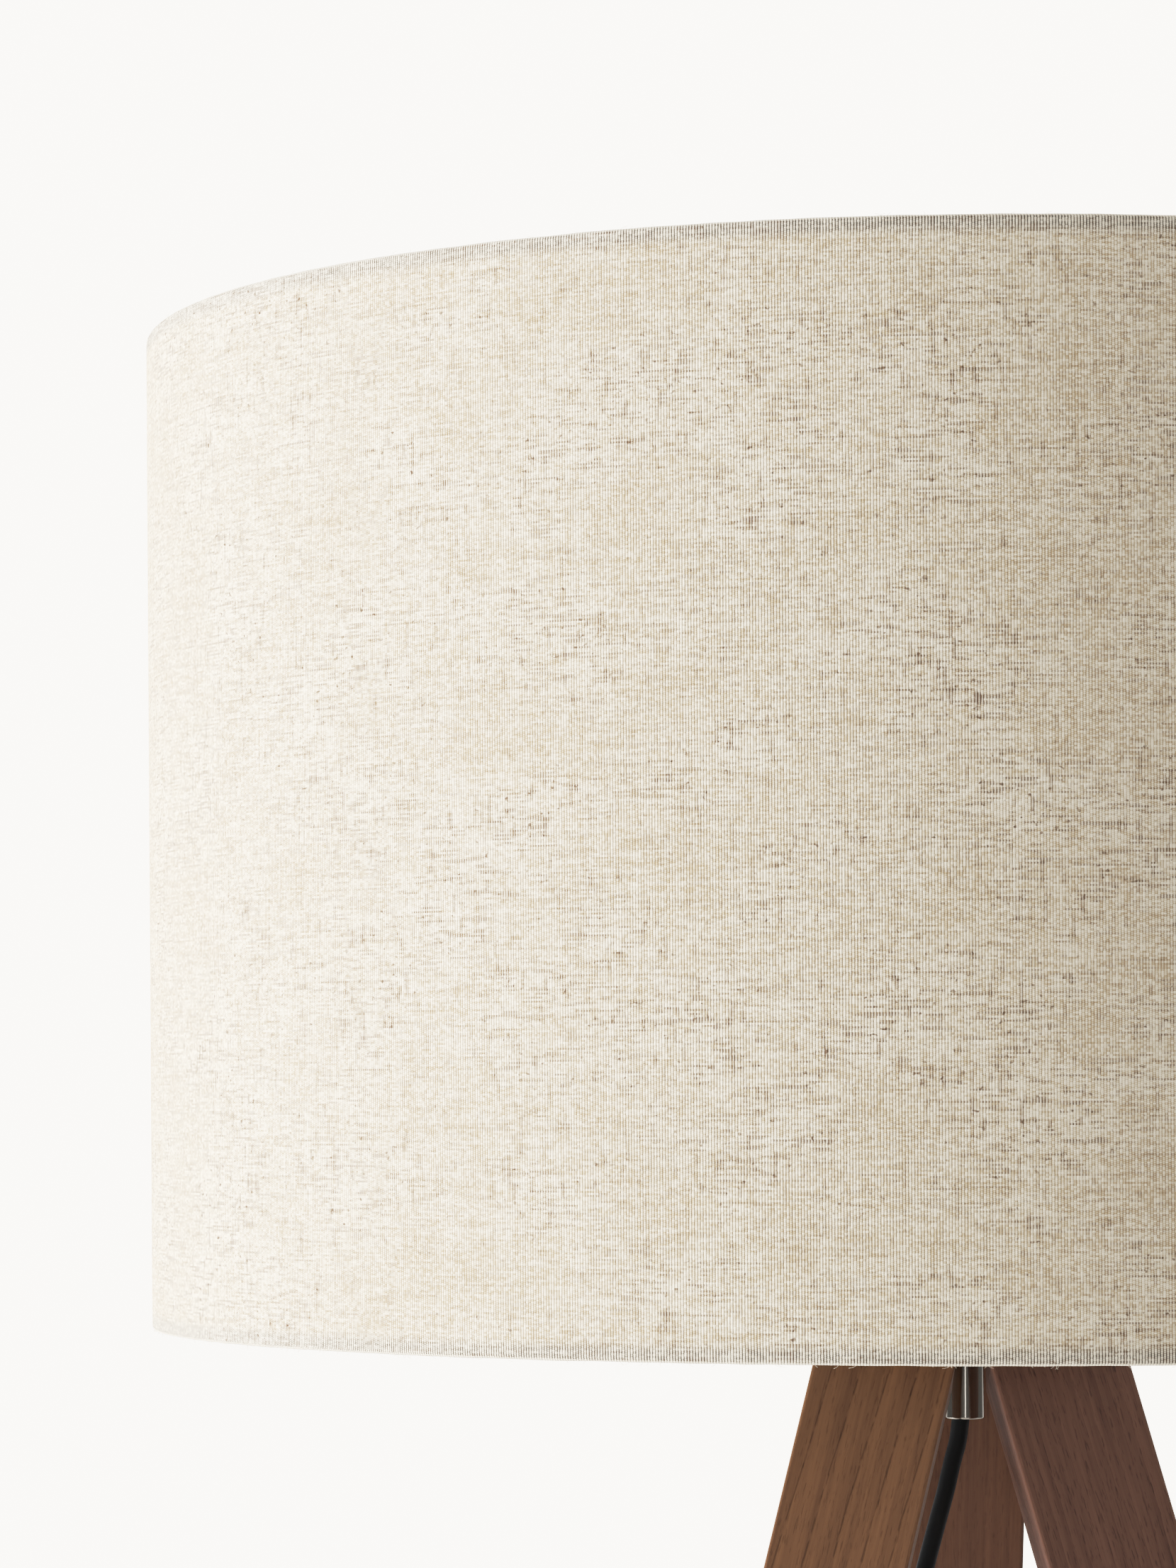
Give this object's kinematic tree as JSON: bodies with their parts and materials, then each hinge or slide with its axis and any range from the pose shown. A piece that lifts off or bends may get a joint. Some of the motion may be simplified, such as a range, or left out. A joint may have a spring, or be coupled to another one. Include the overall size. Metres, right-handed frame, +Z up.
{
  "type": "tripod floor lamp",
  "caption": "Floor lamp with a drum shade of natural linen on a lampholder, above flat leg boards that lean out from a round hub, with a foot switch on its cord.",
  "frame": {"origin": "on the floor, on the lamp's vertical axis", "axes": "+Z up, the lamp's front faces -Y, the back leg runs towards +Y"},
  "size_m": [0.7216, 0.6691, 1.5],
  "materials": {
    "linen": "natural slubbed linen, plain weave",
    "liner": "white laminating sheet",
    "wire_frame": "white coated wire",
    "wood": "brown stained, open grain, satin lacquer",
    "steel": "zinc plated",
    "nickel": "polished nickel",
    "black_plastic": "fine matt",
    "button_plastic": "matt",
    "boot_rubber": "matt",
    "ceramic": "unglazed",
    "brass": "plain",
    "cord_black": "matt round flex",
    "wire_sleeve": "insulation",
    "pad_rubber": "matt",
    "opal": "frosted opal",
    "bulb_white": "white",
    "bulb_metal": "plain"
  },
  "bodies": {
    "stand": {"leg_left_front": "wood", "leg_right_front": "wood", "leg_back": "wood", "leg_screws": "steel", "foot_pads": "pad_rubber", "pad_screws": "steel", "hub": "wood", "stem_tube": "steel", "stem_washer": "steel", "stem_nut": "steel", "ferrule": "nickel", "holder_cap": "black_plastic", "holder_grub_screw": "steel", "cord_grip": "steel", "holder_shell": "black_plastic", "holder_insert": "ceramic", "holder_screw_shell": "brass", "holder_contact": "brass", "terminal_screws": "steel", "lower_shade_ring": "black_plastic", "upper_shade_ring": "black_plastic", "cord_in_stem": "cord_black", "terminal_wires": "wire_sleeve", "bulb_globe": "opal", "bulb_neck": "bulb_white", "bulb_cap": "bulb_metal", "bulb_insulator": "black_plastic", "bulb_contact": "bulb_metal", "cord_clips": "black_plastic", "clip_screws": "steel", "cord_run": "cord_black", "cord_link": "cord_black", "cord_coil": "cord_black", "cord_tail": "cord_black", "coil_tie": "black_plastic", "switch_base": "black_plastic", "switch_cover": "black_plastic", "switch_spring": "steel", "switch_contacts": "brass", "switch_boots": "boot_rubber", "switch_screws": "steel", "plug_body": "black_plastic", "plug_pins": "nickel", "plug_boot": "boot_rubber"},
    "shade": {"shade_cover": "linen", "shade_liner": "liner", "shade_top_hem": "linen", "shade_bottom_hem": "linen", "shade_top_ring": "wire_frame", "shade_bottom_ring": "wire_frame", "spider_arms": "wire_frame", "spider_ring": "wire_frame"},
    "button": {"switch_button": "button_plastic"}
  },
  "joints": [
    {"name": "shade_turn", "type": "hinge", "parent": "stand", "child": "shade", "pos_m": [0, 0, 1.2745], "axis": [0, 0, 1], "continuous": true},
    {"name": "button_press", "type": "slide", "parent": "stand", "child": "button", "axis": [0, 0, -1], "range_m": [0, 0.0025], "stiffness_N_per_m": 1200, "springref_m": -0.001, "deforming": ["switch_spring"]}
  ]
}
